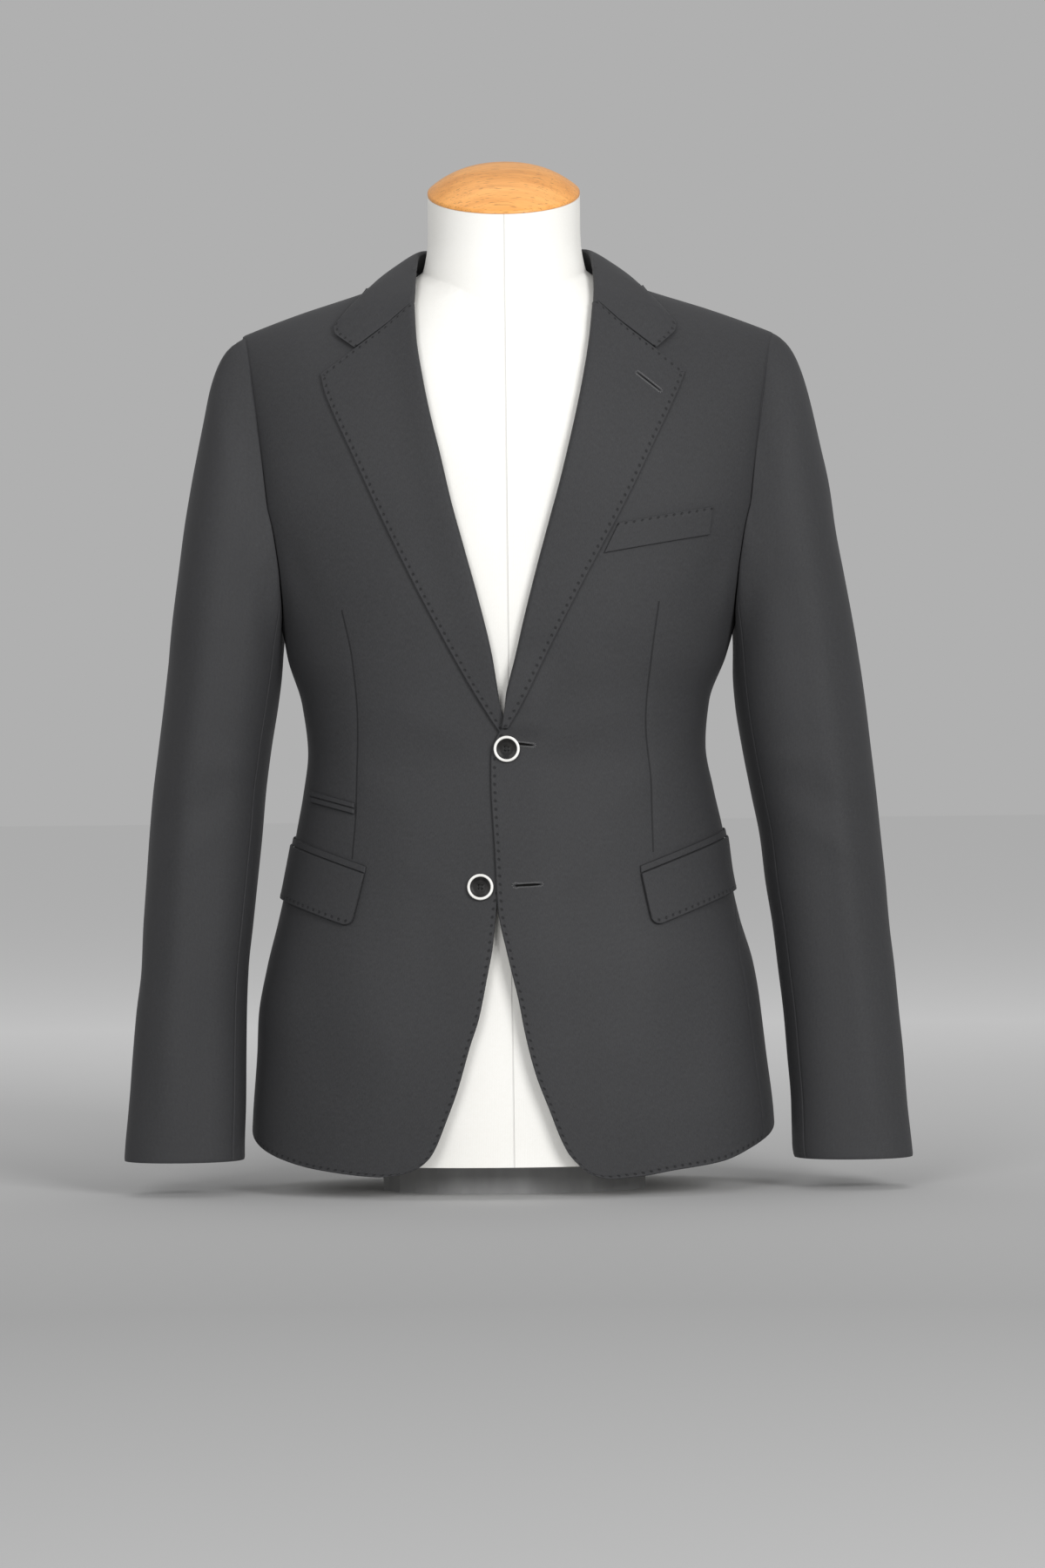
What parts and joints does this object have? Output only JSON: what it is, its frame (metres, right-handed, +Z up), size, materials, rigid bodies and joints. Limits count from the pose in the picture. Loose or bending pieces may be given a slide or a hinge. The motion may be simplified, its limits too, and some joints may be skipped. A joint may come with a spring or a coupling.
{
  "type": "suit jacket on dress form",
  "caption": "Single-breasted suit jacket with notch lapels, flap pockets and side vents, on a limbless dress form with a domed wooden neck cap.",
  "frame": {"origin": "middle of the flat underside of the form's foot, on the surface that it stands on", "axes": "+Z up, -Y out of the jacket's front, +X towards the wearer's left"},
  "size_m": [0.646, 0.2556, 0.8498],
  "materials": {
    "cloth": "fine charcoal worsted wool with a slight sheen",
    "form_jersey": "cream jersey, stretched smooth",
    "wood": "warm orange wood, clear lacquer",
    "button_ring": "off-white, satin",
    "button_disc": "black, polished",
    "form_foot": "mid grey, matte"
  },
  "bodies": {
    "root": {"back_left": "cloth", "back_right": "cloth", "breast_welt": "cloth", "button_lower_disc": "button_disc", "button_lower_ring": "button_ring", "button_upper_disc": "button_disc", "button_upper_ring": "button_ring", "collar_fall": "cloth", "collar_stand": "cloth", "flap_left": "cloth", "flap_right": "cloth", "form_foot": "form_foot", "form_torso": "form_jersey", "front_left": "cloth", "front_right": "cloth", "jet_left": "cloth", "jet_right": "cloth", "lapel_left": "cloth", "lapel_right": "cloth", "neck_cap": "wood", "side_left": "cloth", "side_right": "cloth", "sleeve_left_top": "cloth", "sleeve_left_under": "cloth", "sleeve_right_top": "cloth", "sleeve_right_under": "cloth", "ticket_jet_lower": "cloth", "ticket_jet_upper": "cloth"}
  },
  "joints": []
}
